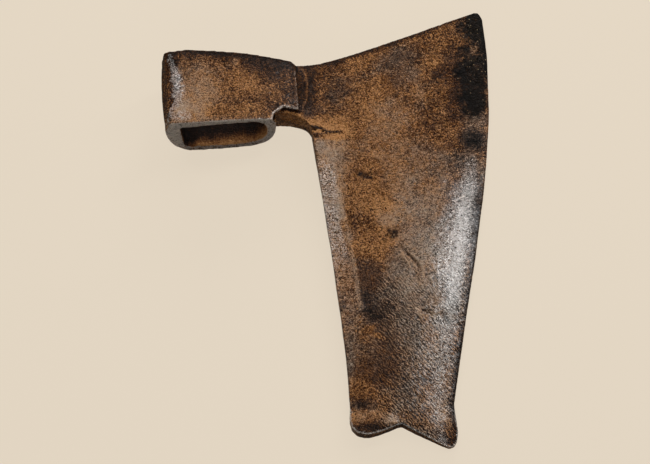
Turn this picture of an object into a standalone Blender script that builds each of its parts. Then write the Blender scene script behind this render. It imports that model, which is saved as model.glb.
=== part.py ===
"""Forged iron bearded axe head, lying on its side.

The head is one forging: a long blade with a fishtail heel, a thick neck and a drawn-out haft eye
whose front strap is lapped over the neck. It is modelled in the smith's own axes, in millimetres:
u runs from the poll to the cutting edge, v runs along the haft with the toe up, and w runs
through the thickness towards the lapped side. Then it is laid down on its plain side.
"""

import math

import bmesh
import bpy
from mathutils import Euler, Vector

MM = 0.001

# How the head is turned, in degrees, when it lies still on its plain side
LIE_ABOUT_U = 0.68
LIE_ABOUT_V = 6.10

# Haft eye. The mouth, where the haft comes out, is the plane v = 0 on the eye's middle line.
CHEEK = 20.4  # w of the cheek on the lapped side
BACK_CHEEK = -19.4
POLL_U = -37.4
POLL_CROWN = 1.4
EYE_END_U = 34.2  # where the eye's own ring ends, under the lap
EYE_HEIGHT = 50.4
EYE_LEAN = 0.07  # the haft's axis leans back towards the poll
MOUTH_RISE = 0.06
TOP_FALL = 0.088
EYE_LEVELS = 10
CURVE_STEPS = 9
HOLE_POLL_U = -27.5
HOLE_NOSE_U = 28.2
HOLE_BACK_W = -13.6
HOLE_TAPER = 0.94  # the eye is a little smaller where the haft's end comes through

# The front strap runs on past the eye as a lap over the neck, and ends in a step.
LAP_THICK = 2.6
LAP_BED = 0.5  # how far the neck stands up into the lap, so the two are one solid
LAP_START_U = 12.0
LAP_END_U = 49.1
LAP_DROP = 0.004  # how fast the lap falls away from the cheek, per millimetre squared
CHIP_FLOOR_SLOPE = 0.242

# Blade
SPINE_HALF = 4.4  # half the thickness at the inner edge of the beard
EDGE_SIDE_HALF = 2.9  # the same where the cutting bevel starts
CUTTING_HALF = 0.9
INNER_BEVEL = 13.0
INNER_BEVEL_DROP = 2.1
HOLLOW_DEPTH = 0.7
CUTTING_BEVEL = 27.0
NECK_SWELL = 12.2  # how far the neck stands out of the blade's plain side at the eye
NECK_FADE_V = -46.0  # the swell has died out this far down the beard
HEEL_LINE_V = -180.0  # below this line the rows bend to follow the fishtail

# Curves of the blade's outline, each a cubic Bezier in (u, v)
INNER_EDGE = ((80.5, -197.0), (82.5, -165.0), (66.0, -59.0), (57.9, -8.0))
THROAT = ((57.9, -8.0), (57.3, 5.6), (57.0, 7.6), (16.0, 13.4))
NECK_STATIONS = (16.0, 21.0, 26.0, 31.0, 36.0, 40.0, 43.0, 45.5, 47.5, 49.2, 51.0, 53.0, 55.0, 56.8)
NECK_LEVELS = (0.0, 0.03, 0.07, 0.12, 0.19, 0.28, 0.38, 0.49, 0.6, 0.71, 0.81, 0.89, 0.95, 0.985, 1.0)
BEARD_STEPS = 22
NECK_TOP = ((16.0, 42.8), (26.0, 43.4), (36.0, 44.0), (44.0, 44.5))
TOP_EDGE = ((44.0, 44.5), (54.0, 44.6), (140.0, 79.4), (165.2, 91.2))
CUTTING_EDGE = ((169.4, 92.0), (180.5, -2.0), (159.0, -82.0), (144.2, -182.0))
HEEL_FLARE = ((144.2, -182.0), (143.8, -190.0), (145.2, -196.0), (146.0, -206.0))
TOE_ROUND = 5.0
NOTCH_SHARE = 0.472  # where the fishtail's notch stands across the heel
NOTCH_V = -196.4
SPINE_LOBE = 7.2  # how far each lobe of the fishtail reaches below the notch
CUTTING_LOBE = 17.7

# Cold-shut cracks that run in from the throat: name, line in (u, v), width along it, and depth
CRACKS = (
    (
        "upper_crack",
        ((50.0, 0.6), (58.0, 0.2), (62.4, -0.2), (69.0, -1.0), (77.0, -0.9)),
        (1.7, 1.5, 1.2, 1.0, 0.1),
        2.5,
    ),
    (
        "lower_crack",
        ((50.0, -5.6), (58.5, -5.0), (63.5, -3.6), (69.5, -1.3)),
        (1.5, 1.3, 0.9, 0.2),
        2.0,
    ),
)


def between(low, high, share):
    return low + (high - low) * share


def smooth_step(low, high, value):
    share = min(1.0, max(0.0, (value - low) / (high - low)))
    return share * share * (3 - 2 * share)


def bezier(curve, t):
    weights = ((1 - t) ** 3, 3 * t * (1 - t) ** 2, 3 * t * t * (1 - t), t**3)
    return tuple(sum(w * point[axis] for w, point in zip(weights, curve)) for axis in (0, 1))


def u_on(curve, v):
    """The curve's u at this v. Each outline curve rises or falls steadily in v."""
    low, high = 0.0, 1.0
    rising = curve[3][1] > curve[0][1]
    for _ in range(40):
        middle = (low + high) / 2
        if (bezier(curve, middle)[1] < v) == rising:
            low = middle
        else:
            high = middle
    return bezier(curve, (low + high) / 2)[0]


# blade and neck


def inner_edge(v):
    return u_on(INNER_EDGE, max(v, INNER_EDGE[0][1]))


def right_edge(v):
    if v <= CUTTING_EDGE[3][1]:
        return u_on(HEEL_FLARE, max(v, HEEL_FLARE[3][1]))
    rounding = max(0.0, (v - TOP_EDGE[3][1] + TOE_ROUND) / TOE_ROUND)
    return u_on(CUTTING_EDGE, min(v, TOP_EDGE[3][1])) - 0.5 * TOE_ROUND * rounding**2.2


def v_on(curve, u):
    """The curve's v at this u, held at its ends outside them."""
    swapped = tuple((point[1], point[0]) for point in curve)
    low, high = sorted((curve[0][0], curve[3][0]))
    return u_on(swapped, min(high, max(low, u)))


def lower_edge(u):
    """The neck's underside, down to the row where the beard begins."""
    return v_on(THROAT, u) if u < THROAT[0][0] else THROAT[0][1]


def upper_edge(u):
    return v_on(TOP_EDGE if u > TOP_EDGE[0][0] else NECK_TOP, u)


def corner_cut(distance, radius, height):
    """How far a rounded corner stands back at this distance from the corner."""
    reach = 1 - min(1.0, distance / radius)
    return height * (1 - math.sqrt(1 - reach * reach))


def fishtail(share):
    """v of the heel's end, from the spine corner at 0 to the cutting corner at 1."""
    if share < NOTCH_SHARE:
        x = share / NOTCH_SHARE
        lobe = NOTCH_V - SPINE_LOBE * (1 - max(0.0, (x - 0.35) / 0.65) ** 1.35)
        return lobe + corner_cut(x, 0.3, 9.0)
    x = (share - NOTCH_SHARE) / (1 - NOTCH_SHARE)
    return NOTCH_V - CUTTING_LOBE * x**0.93 + corner_cut(1 - x, 0.2, 13.0)


def row_stations(left, right):
    """u of each point across a row: close together over both bevels, even between them."""
    fit = min(1.0, (right - left) / 62.0)
    near_left = [left + fit * a for a in (0.0, 1.2, 4.5, 9.0, INNER_BEVEL, 16.5, 21.0)]
    near_right = [right - fit * b for b in (26.0, 20.0, 14.5, 9.5, 5.5, 2.6, 0.9, 0.0)]
    middle = [between(near_left[-1], near_right[0], n / 7) for n in range(1, 7)]
    return near_left + middle + near_right


def beard_rows():
    """Rows of (u, v) points from the heel up to the throat."""
    rows = []
    # Below the heel line the rows bend, more and more, into the fishtail.
    for bend in (1.0, 0.93, 0.82, 0.68, 0.5, 0.3, 0.12):
        v_row = between(HEEL_LINE_V, HEEL_FLARE[3][1], bend)
        left, right = inner_edge(v_row), right_edge(v_row)
        stations = row_stations(left, right)
        shares = [(u - left) / (right - left) for u in stations]
        rows.append([(u, between(HEEL_LINE_V, fishtail(s), bend)) for u, s in zip(stations, shares)])
    for n in range(BEARD_STEPS + 1):
        v = between(HEEL_LINE_V, THROAT[0][1], n / BEARD_STEPS)
        rows.append([(u, v) for u in row_stations(inner_edge(v), right_edge(v))])
    return rows


def upper_rows(throat_row):
    """Rows of (u, v) points over the neck and toe. The lowest follows the neck's underside."""
    left = throat_row[0][0]
    spread = [(u - left) / (throat_row[-1][0] - left) for u, v in throat_row]
    rows = []
    for height in NECK_LEVELS:
        row = [(u, between(lower_edge(u), upper_edge(u), height)) for u in NECK_STATIONS]
        for share in spread:
            u, v = between(left, TOP_EDGE[3][0], share), 0.0
            # u and v each follow an edge that depends on the other, so they settle together.
            for _ in range(12):
                v = between(throat_row[0][1], upper_edge(u), height)
                u = between(left, right_edge(v), share)
            row.append((u, v))
        rows.append(row)
    return rows


def lap_outside(u):
    """w of the strap's outer face, from the cheek to the end of the lap."""
    return CHEEK - LAP_DROP * max(0.0, u - LAP_START_U) ** 2


def blade_half(u, v, side):
    """Half the blade's thickness at a point, on side +1 (lapped) or -1 (plain)."""
    left = inner_edge(v) if v < THROAT[0][1] else THROAT[0][0]
    right = right_edge(v)
    from_left, from_right = max(0.0, u - left), max(0.0, right - u)
    across = from_left / (right - left)
    half = between(SPINE_HALF, EDGE_SIDE_HALF, across)
    # Bevel along the beard's inner edge. It dies out at the throat and over the heel.
    beard = smooth_step(THROAT[0][1], NECK_FADE_V, v)
    depth = INNER_BEVEL_DROP * (1.0 if side > 0 else 0.6)
    fading = 1 - 0.6 * smooth_step(-165.0, -190.0, v)
    half -= depth * beard * fading * max(0.0, 1 - from_left / INNER_BEVEL)
    if side > 0:
        half -= HOLLOW_DEPTH * beard * math.exp(-(((from_left - 25.0) / 10.0) ** 2))
    # Cutting bevel, rounder towards the edge
    half -= (EDGE_SIDE_HALF - CUTTING_HALF) * max(0.0, 1 - from_right / CUTTING_BEVEL) ** 2.3
    # The heel is upset into a low roll, deepest at the spine corner.
    half += 0.9 * math.exp(-(((v + 196.0) / 7.5) ** 2)) * (1 - 0.7 * across)
    return max(CUTTING_HALF, half)


def neck_front(u):
    """w of the neck's face on the lapped side. Under the lap it follows the lap."""
    if u < LAP_END_U:
        return lap_outside(u) - LAP_THICK + LAP_BED
    start = lap_outside(LAP_END_U) - LAP_THICK + LAP_BED
    return SPINE_HALF + (start - SPINE_HALF) * math.exp(-(u - LAP_END_U) / 15.0)


def neck_back(u):
    """w of the neck's face on the plain side, where it runs out of the eye in one sweep."""
    return -SPINE_HALF - NECK_SWELL * math.exp(-(((u - 16.0) / 18.0) ** 2))


def blade_point(u, v, side):
    # The neck swells out of the blade, and leans with the eye.
    eye_u = u + EYE_LEAN * v
    swell = neck_front(eye_u) - SPINE_HALF if side > 0 else neck_back(eye_u) + SPINE_HALF
    return (u, v, side * blade_half(u, v, side) + smooth_step(NECK_FADE_V, 0.0, v) * swell)


def make_blade():
    bm = bmesh.new()
    beard = beard_rows()
    upper = upper_rows(beard[-1])
    neck = len(NECK_STATIONS)
    sides = []
    for side in (1, -1):
        low = [[bm.verts.new(blade_point(u, v, side)) for u, v in row] for row in beard]
        high = [[bm.verts.new(blade_point(u, v, side)) for u, v in row] for row in upper[1:]]
        first = [bm.verts.new(blade_point(u, v, side)) for u, v in upper[0][:neck]] + low[-1]
        faces = []
        for rows in (low, [first] + high):
            for below, above in zip(rows, rows[1:]):
                for n in range(len(below) - 1):
                    faces.append((below[n], below[n + 1], above[n + 1], above[n]))
        for corners in faces:
            bm.faces.new(corners)
        sides.append(low + [first] + high)
    # The rim joins the two sides along each one's open border.
    partner = {}
    for front_row, back_row in zip(*sides):
        partner.update(zip(front_row, back_row))
    for edge in [e for e in bm.edges if e.is_boundary and e.verts[0] in partner]:
        a, b = edge.verts
        bm.faces.new((a, b, partner[b], partner[a]))
    return finished(bm, "blade")


# eye


def eye_bottom(u):
    return MOUTH_RISE * u


def eye_top(u):
    return EYE_HEIGHT - TOP_FALL * u


def corner_points(curve):
    return [bezier(curve, n / CURVE_STEPS) for n in range(CURVE_STEPS + 1)]


def ring_outline(level):
    """(u, w) round the outside of the eye and its lap, at a level from 0 (mouth) to 1 (top)."""
    pillow = math.sin(math.pi * level)
    ridge_u = between(-33.8, -36.0, level)
    points = [
        (between(ridge_u + 0.5, -23.0, pillow), CHEEK),
        (between(ridge_u, -34.6, pillow), between(CHEEK - 0.5, 16.4, pillow)),
    ]
    poll_u = POLL_U - POLL_CROWN * pillow
    points += corner_points(((poll_u, 9.0), (poll_u, -6.0), (-30.5, BACK_CHEEK), (-21.0, BACK_CHEEK)))
    points += [(-11.0, BACK_CHEEK)]
    points += corner_points(((-2.0, BACK_CHEEK), (18.0, -18.0), (34.0, -19.0), (EYE_END_U, 9.0)))
    under = [(u, lap_outside(u) - LAP_THICK) for u in (EYE_END_U, 41.0, LAP_END_U)]
    over = [(u, lap_outside(u)) for u in (LAP_END_U, 41.0, 34.0, 27.0, 20.0, LAP_START_U)]
    return points + under + over + [(0.0, CHEEK), (-12.0, CHEEK)]


def make_eye():
    bm = bmesh.new()
    rings = []
    for step in range(EYE_LEVELS + 1):
        ring = []
        for u, w in ring_outline(step / EYE_LEVELS):
            v = between(eye_bottom(u), eye_top(u), step / EYE_LEVELS)
            ring.append(bm.verts.new((u - EYE_LEAN * v, v, w)))
        rings.append(ring)
    count = len(rings[0])
    for low, high in zip(rings, rings[1:]):
        for n in range(count):
            bm.faces.new((low[n], low[(n + 1) % count], high[(n + 1) % count], high[n]))
    bm.faces.new(rings[0])
    bm.faces.new(reversed(rings[-1]))
    return finished(bm, "axe_head")


def hole_outline(scale, v):
    """(u, v, w) round the haft's hole: flat at the poll, drawn to a round nose at the neck."""
    points = [(HOLE_POLL_U, 12.4), (HOLE_POLL_U + 1.1, -10.4), (HOLE_POLL_U + 2.0, -12.2)]
    points += [(HOLE_POLL_U + 4.0, HOLE_BACK_W + 0.4), (-12.0, HOLE_BACK_W)]
    points += corner_points(((2.0, HOLE_BACK_W), (18.0, -13.4), (29.0, -9.5), (HOLE_NOSE_U, 4.0)))
    points += corner_points(((HOLE_NOSE_U, 4.0), (28.2, 11.0), (26.0, 16.6), (19.0, 16.4)))[1:]
    points += [(2.3, 15.6), (-16.0, 13.8), (HOLE_POLL_U + 1.0, 13.2)]
    return [(u * scale - EYE_LEAN * v, v, w * scale) for u, w in points]


def make_prism(name, low, high):
    """A closed prism between two outlines of (u, v, w) points with the same count."""
    bm = bmesh.new()
    lower = [bm.verts.new(p) for p in low]
    upper = [bm.verts.new(p) for p in high]
    for n in range(len(low)):
        after = (n + 1) % len(low)
        bm.faces.new((lower[n], lower[after], upper[after], upper[n]))
    bm.faces.new(reversed(lower))
    bm.faces.new(upper)
    return finished(bm, name)


def make_hole():
    return make_prism("haft_hole", hole_outline(1.01, -12.0), hole_outline(HOLE_TAPER, 64.0))


def make_poll_wear():
    """The poll's top corner is worn down."""
    outline = [(-48.0, 49.0), (-24.0, 52.2), (-12.0, 52.4), (-12.0, 62.0), (-48.0, 62.0)]
    return make_prism("poll_wear", [(u, v, -26.0) for u, v in outline], [(u, v, 26.0) for u, v in outline])


def make_chip():
    """The lap's lost corner, at its lower end, down to the neck under it."""
    outline = [(31.6, -8.0), (31.8, 3.7), (32.6, 6.6), (35.2, 9.0), (39.0, 12.3), (43.0, 11.6)]
    outline += [(53.0, 11.2), (53.0, -8.0)]
    floor = lap_outside(31.6) - LAP_THICK
    lower = [(u, v, floor - CHIP_FLOOR_SLOPE * (u - 31.6)) for u, v in outline]
    return make_prism("lap_chip", lower, [(u, v, 26.0) for u, v in outline])


def make_lap_corner():
    """The lap's upper corner is worn off."""
    outline = [(42.9, 47.4), (46.4, 42.6), (56.0, 42.6), (56.0, 52.0), (42.9, 52.0)]
    floor = lap_outside(LAP_END_U) - LAP_THICK + 0.8
    return make_prism("lap_corner", [(u, v, floor) for u, v in outline], [(u, v, 26.0) for u, v in outline])


def make_weld_gap():
    """The lap's weld has opened at the mouth: a wedge, thin at the cheek and wide at the eye's end."""
    mouth, end = [], []
    for u, thick, depth in ((2.0, 0.3, 2.0), (18.0, 0.9, 4.5), (36.0, 1.8, 8.5)):
        under = lap_outside(u) - LAP_THICK
        mouth.append(((u, -6.0, under - thick), (u, -6.0, under)))
        end.append(((u, depth, under - 0.6 * thick), (u, depth, under - 0.1)))
    low = [floor for floor, roof in mouth] + [roof for floor, roof in reversed(mouth)]
    high = [floor for floor, roof in end] + [roof for floor, roof in reversed(end)]
    return make_prism("weld_gap", low, high)


def make_crack(name, line, widths, depth):
    """A thin wedge along a line, down to a depth below the blade's face."""
    upper = [(u, v + wide / 2) for (u, v), wide in zip(line, widths)]
    lower = [(u, v - wide / 2) for (u, v), wide in zip(line, widths)]
    outline = upper + lower[::-1]
    floor = SPINE_HALF - depth
    return make_prism(name, [(u, v, floor) for u, v in outline], [(u, v, 24.0) for u, v in outline])


# joining and laying down


def finished(bm, name):
    bmesh.ops.recalc_face_normals(bm, faces=bm.faces[:])
    mesh = bpy.data.meshes.new(name)
    bm.to_mesh(mesh)
    bm.free()
    made = bpy.data.objects.new(name, mesh)
    bpy.context.scene.collection.objects.link(made)
    return made


def combine(target, other, operation):
    """Boolean, applied, with the other solid removed afterwards."""
    modifier = target.modifiers.new(other.name, "BOOLEAN")
    modifier.operation = operation
    modifier.solver = "EXACT"
    modifier.object = other
    graph = bpy.context.evaluated_depsgraph_get()
    mesh = bpy.data.meshes.new_from_object(target.evaluated_get(graph))
    target.modifiers.clear()
    target.data = mesh
    bpy.data.objects.remove(other)


def iron():
    material = bpy.data.materials.new("rusted_iron")
    material.use_nodes = True
    shader = material.node_tree.nodes["Principled BSDF"]
    shader.inputs["Base Color"].default_value = (0.125, 0.068, 0.035, 1.0)
    shader.inputs["Metallic"].default_value = 0.6
    shader.inputs["Roughness"].default_value = 0.5
    return material


def lay_down(head):
    """On its plain side the head rests on the eye's cheek, the cutting edge and the heel."""
    turn = Euler((math.radians(LIE_ABOUT_U), math.radians(LIE_ABOUT_V), 0.0))
    corners = [turn.to_matrix() @ vertex.co for vertex in head.data.vertices]
    low = [min(c[axis] for c in corners) for axis in range(3)]
    high = [max(c[axis] for c in corners) for axis in range(3)]
    middle = Vector(((low[0] + high[0]) / 2, (low[1] + high[1]) / 2, low[2]))
    head.rotation_euler = turn
    head.scale = (MM, MM, MM)
    head.location = -MM * middle


def main():
    for leftover in list(bpy.data.objects):
        bpy.data.objects.remove(leftover)
    head = make_eye()
    for cutter in (make_poll_wear(), make_chip(), make_lap_corner()):
        combine(head, cutter, "DIFFERENCE")
    combine(head, make_blade(), "UNION")
    for cutter in (make_hole(), make_weld_gap()):
        combine(head, cutter, "DIFFERENCE")
    for name, line, widths, depth in CRACKS:
        combine(head, make_crack(name, line, widths, depth), "DIFFERENCE")
    head.data.materials.clear()
    head.data.materials.append(iron())
    head.data.shade_smooth()
    head.data.set_sharp_from_angle(angle=math.radians(28.0))
    lay_down(head)


main()
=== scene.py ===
import math
import time
from itertools import product
from types import SimpleNamespace

import bmesh
import bpy
import numpy as np
from mathutils import Euler, Matrix, Vector
from mathutils.kdtree import KDTree


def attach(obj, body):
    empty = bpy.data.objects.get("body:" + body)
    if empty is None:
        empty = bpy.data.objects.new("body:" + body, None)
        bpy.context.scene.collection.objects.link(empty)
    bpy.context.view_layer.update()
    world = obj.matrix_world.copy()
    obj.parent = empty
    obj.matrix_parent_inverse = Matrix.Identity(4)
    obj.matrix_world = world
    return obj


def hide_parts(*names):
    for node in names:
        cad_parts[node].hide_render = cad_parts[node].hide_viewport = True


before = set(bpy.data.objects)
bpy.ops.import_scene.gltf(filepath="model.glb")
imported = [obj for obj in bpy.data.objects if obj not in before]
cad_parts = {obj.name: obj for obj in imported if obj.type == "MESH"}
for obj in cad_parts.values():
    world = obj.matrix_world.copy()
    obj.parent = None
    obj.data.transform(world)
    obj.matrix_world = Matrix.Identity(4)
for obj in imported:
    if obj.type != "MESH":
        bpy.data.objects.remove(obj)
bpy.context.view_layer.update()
started = time.time()


def say(stage):
    print(f"[{time.time() - started:5.1f} s] {stage}")


# The smith's own axes on the lying head, in millimetres: u from the poll to the cutting edge,
# v along the haft with the toe up, w out of the lapped side. The eye's mouth is at v = 0.
lying = {
    "turn": (0.68, 6.10, 0.0),
    "place": (-0.06571201, 0.05999598, 0.01948984),
    "unit": 0.001,
    "eyeLean": 0.07,  # the haft's axis leans back towards the poll
}
headTurn = Euler([math.radians(angle) for angle in lying["turn"]]).to_matrix()


def toHead(points):
    return (points - np.array(lying["place"])) @ np.array(headTurn) / lying["unit"]


def fromHead(point):
    return headTurn @ (Vector(point) * lying["unit"]) + Vector(lying["place"])


def leaning(u, v):  # u on the eye's own leaning axis
    return u + lying["eyeLean"] * v


# Small tools for meshes


def pickOnly(thing):
    bpy.ops.object.select_all(action="DESELECT")
    thing.select_set(True)
    bpy.context.view_layer.objects.active = thing


def applied(thing, kind, **settings):
    pickOnly(thing)
    bpy.ops.object.modifier_add(type=kind)
    modifier = thing.modifiers[-1]
    for name, value in settings.items():
        setattr(modifier, name, value)
    bpy.ops.object.modifier_apply(modifier=modifier.name)


def places(thing):
    flat = np.empty(len(thing.data.vertices) * 3, np.float32)
    thing.data.vertices.foreach_get("co", flat)
    return flat.reshape(-1, 3).astype(float)


def setPlaces(thing, points):
    thing.data.vertices.foreach_set("co", points.astype(np.float32).ravel())
    thing.data.update()


def outward(thing):
    flat = np.empty(len(thing.data.vertices) * 3, np.float32)
    thing.data.vertex_normals.foreach_get("vector", flat)
    return flat.reshape(-1, 3).astype(float)


def weigh(thing, name, weights, levels=20):  # a vertex group from one weight for each vertex
    group = thing.vertex_groups.new(name=name)
    steps = np.round(weights * levels).astype(int)
    for level in range(1, levels + 1):
        group.add(np.nonzero(steps == level)[0].tolist(), level / levels, "REPLACE")


def paint(thing, name, values):  # a named value on each vertex, for the material to read
    layer = thing.data.attributes.new(name, "FLOAT", "POINT")
    layer.data.foreach_set("value", np.clip(values, 0.0, 1.0).astype(np.float32))


def ramp(low, high, value):
    share = np.clip((value - low) / (high - low), 0.0, 1.0)
    return share * share * (3.0 - 2.0 * share)


def bump(value, middle, width):  # 1 in the middle, dying out over about one width each way
    return np.exp(-(((value - middle) / width) ** 2))


# Noise, all in head millimetres


def softNoise(points, size, seed):  # rolling, about -1 to 1; size is one hump
    dice = np.random.default_rng(seed)
    order = dice.permutation(256)
    arrows = dice.normal(size=(256, 3))
    arrows /= np.linalg.norm(arrows, axis=1)[:, None]
    spot = points / size
    cell = np.floor(spot).astype(int)
    inside = spot - cell
    ease = inside**3 * (inside * (inside * 6 - 15) + 10)
    total = np.zeros(len(points))
    for corner in product((0, 1), repeat=3):
        knot = (cell + corner) & 255
        pick = order[(order[(order[knot[:, 0]] + knot[:, 1]) & 255] + knot[:, 2]) & 255]
        pull = ((inside - corner) * arrows[pick]).sum(axis=1)
        total += pull * np.prod(np.where(corner, ease, 1 - ease), axis=1)
    return total * 1.7  # brings it to about -1 to 1


def roughNoise(points, size, seed, octaves=4, fade=0.55):
    total, height, whole = 0.0, 1.0, 0.0
    for n in range(octaves):
        total = total + height * softNoise(points, size / 2**n, seed + n)
        whole += height
        height *= fade
    return total / whole


# The distance to the nearest dot in dot spacings, and a number from 0 to 1 for that dot
def cellNoise(points, size, seed):
    dice = np.random.default_rng(seed)
    order = dice.permutation(256)
    jitter = dice.random((256, 3))
    chance = dice.random(256)
    spot = points / size
    cell = np.floor(spot).astype(int)
    near = np.full(len(points), 9.0)
    number = np.zeros(len(points), int)
    for step in product((-1, 0, 1), repeat=3):
        knot = (cell + step) & 255
        pick = order[(order[(order[knot[:, 0]] + knot[:, 1]) & 255] + knot[:, 2]) & 255]
        away = np.linalg.norm(cell + step + jitter[pick] - spot, axis=1)
        closer = away < near
        number = np.where(closer, pick, number)
        near = np.where(closer, away, near)
    return near, chance[number]


# The distance across the face to a drawn line, which side of it, and the share of the way along it
def nearLine(points, line):
    flat = points[:, :2]
    corners = [np.array(corner, float) for corner in line]
    whole = sum(np.hypot(*(b - a)) for a, b in zip(corners, corners[1:]))
    best, side, along, done = np.full(len(flat), 1e9), np.zeros(len(flat)), np.zeros(len(flat)), 0.0
    for a, b in zip(corners, corners[1:]):
        leg = b - a
        length = np.hypot(*leg)
        share = np.clip(((flat - a) @ leg) / length**2, 0.0, 1.0)
        off = flat - (a + share[:, None] * leg)
        away = np.hypot(off[:, 0], off[:, 1])
        closer = away < best
        side = np.where(closer, np.sign(leg[0] * off[:, 1] - leg[1] * off[:, 0]), side)
        along = np.where(closer, (done + share * length) / whole, along)
        best = np.where(closer, away, best)
        done += length
    return best, side, along


# The head's shape: the forging remeshed, smoothed between its sharp edges, then worked over

ironHead = {
    "voxel": 0.00062,  # metres
    "merged": 0.00001,  # corners of the forging closer than this are one
    "crispAngle": 26.0,  # edges of the forging sharper than this stay where they are
    "crispStep": 0.0008,  # metres from one dot along such an edge to the next
    "crispReach": (1.5, 6.5),  # mm from such an edge where the long smoothing starts and is full
    "broadSmooth": 160,
    "edgeSmooth": 4,
    "triangles": 194000,
    "hammer": ((24.0, 0.26), (10.0, 0.10)),  # size and height of the hammer's marks, in mm
    "bevelRidge": (2.0, 0.28),  # half width and height
    "creases": (2.025, 1.08, 0.17),  # sizes of the broad and the fine creases, and their height
    "creaseRuns": -52.0,  # degrees that they are turned by
    "rough": (3.4, 0.10),  # size and height
    "pocks": ((2.2, 0.30, 0.10), (4.2, 0.16, 0.17)),  # spacing, share of dots that are pits, depth
    "cheekArch": 0.9,
    "bladeBelly": 0.85,
    "heelRoll": ((-193.0, 4.2, 0.75), (-183.0, 5.5, -0.55)),  # v, half width and height, and its valley's
}


def copyOfForging():
    head = bpy.data.objects.new("ironHead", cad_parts["axe_head"].data.copy())
    bpy.context.scene.collection.objects.link(head)
    pickOnly(head)
    bpy.ops.object.mode_set(mode="EDIT")
    bpy.ops.mesh.select_all(action="SELECT")
    bpy.ops.mesh.remove_doubles(threshold=ironHead["merged"])
    bpy.ops.object.mode_set(mode="OBJECT")
    return head


def crispDots(head):  # dots along every sharp edge of the forging
    shape = bmesh.new()
    shape.from_mesh(head.data)
    dots = []
    for edge in shape.edges:
        if edge.is_manifold and edge.calc_face_angle() > math.radians(ironHead["crispAngle"]):
            a, b = (vertex.co for vertex in edge.verts)
            steps = max(1, int((b - a).length / ironHead["crispStep"]))
            dots += [a.lerp(b, n / steps) for n in range(steps + 1)]
    shape.free()
    tree = KDTree(len(dots))
    for n, dot in enumerate(dots):
        tree.insert(dot, n)
    tree.balance()
    return tree


def toCrisp(tree, points):
    return np.array([tree.find(point)[2] for point in points]) / lying["unit"]


head = copyOfForging()
crisp = crispDots(head)
applied(head, "REMESH", mode="VOXEL", voxel_size=ironHead["voxel"])
say(f"remeshed to {len(head.data.polygons)} faces")

weigh(head, "broad", ramp(*ironHead["crispReach"], toCrisp(crisp, places(head))))
applied(head, "SMOOTH", factor=0.5, iterations=ironHead["broadSmooth"], vertex_group="broad")
applied(head, "SMOOTH", factor=0.5, iterations=ironHead["edgeSmooth"])
say("smoothed")

# The haft's hole, in mm: along its own axis across the eye, then from the hidden side to the lapped one
hole = {
    "poll": -29.0,
    "corners": -24.0,  # between here and the nose's rounding its walls are straight
    "rounding": 22.0,
    "nose": 30.0,
    "back": -15.0,
    "middle": 1.0,
    "front": 18.0,
}


def regions(thing):  # where each vertex lies and faces, and how far it belongs to each part of the head
    at = SimpleNamespace(spot=toHead(places(thing)), facing=outward(thing) @ np.array(headTurn))
    u, v, w = at.spot.T
    facing, lean = at.facing, leaning(u, v)
    at.front = ramp(0.15, 0.55, facing[:, 2])
    at.back = ramp(0.15, 0.55, -facing[:, 2])
    at.eye = 1 - ramp(44.0, 52.0, lean)
    at.blade = 1 - at.eye
    at.beard = at.blade * (1 - ramp(-30.0, 0.0, v))
    at.mouth = ramp(0.6, 0.9, -facing[:, 1]) * (lean < 36.0) * (v < 4.0)
    # the haft's hole: its walls face its middle
    within = (lean > hole["poll"]) & (lean < hole["nose"]) & (w > hole["back"]) & (w < hole["front"])
    inwards = np.where(lean < hole["corners"], facing[:, 0], -np.sign(w - hole["middle"]) * facing[:, 2])
    inwards = np.where(lean > hole["rounding"], -facing[:, 0], inwards)
    at.bore = within * (v > -3.0) * ramp(0.12, 0.35, inwards)
    return at


# Lines drawn on the head, as corners in (u, v)
lines = {
    "bevelRidge": ((74, -40), (75.6, -52), (80.2, -68.6), (83.5, -93), (85.5, -107), (87.5, -122)),
    "gouge": ((115, -82.6), (119, -87), (123.2, -92.4), (124.6, -97)),
    "pollRidge": (
        (-35.2, 2), (-32.4, 7.4), (-29.6, 13), (-28.9, 21), (-29.6, 29), (-33.8, 42.4), (-36.4, 48),
    ),
    "cheekEdge": ((-33, -2.2), (31.7, 2)),
    "chipEdge": ((31.7, 3), (32.6, 6.6), (35.2, 9), (39, 12.3), (43, 11.6), (48.3, 11.3)),
    "underChip": ((36, 2), (41, 7), (46, 7)),
    "lapEnd": ((48.3, 11.5), (46.1, 42.6), (42.9, 47.4)),
    "throatRim": ((44, 11), (50, 8.5), (54, 4.5), (56.6, -0.5)),
    "upperCrack": ((56.5, 1.9), (63.5, 1.4), (67, -0.6), (70.5, -0.6), (76, 0.1)),
    "lowerCrack": ((57.5, -3.3), (64, -2.2), (67.5, -0.9)),
    "betweenCracks": ((58, -0.8), (65, -0.4)),
    "cuttingEdge": (
        (146, -206), (143.8, -190), (144.2, -182), (155.9, -110), (166.5, -43), (172.2, 24), (169.4, 92),
    ),
}
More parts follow.
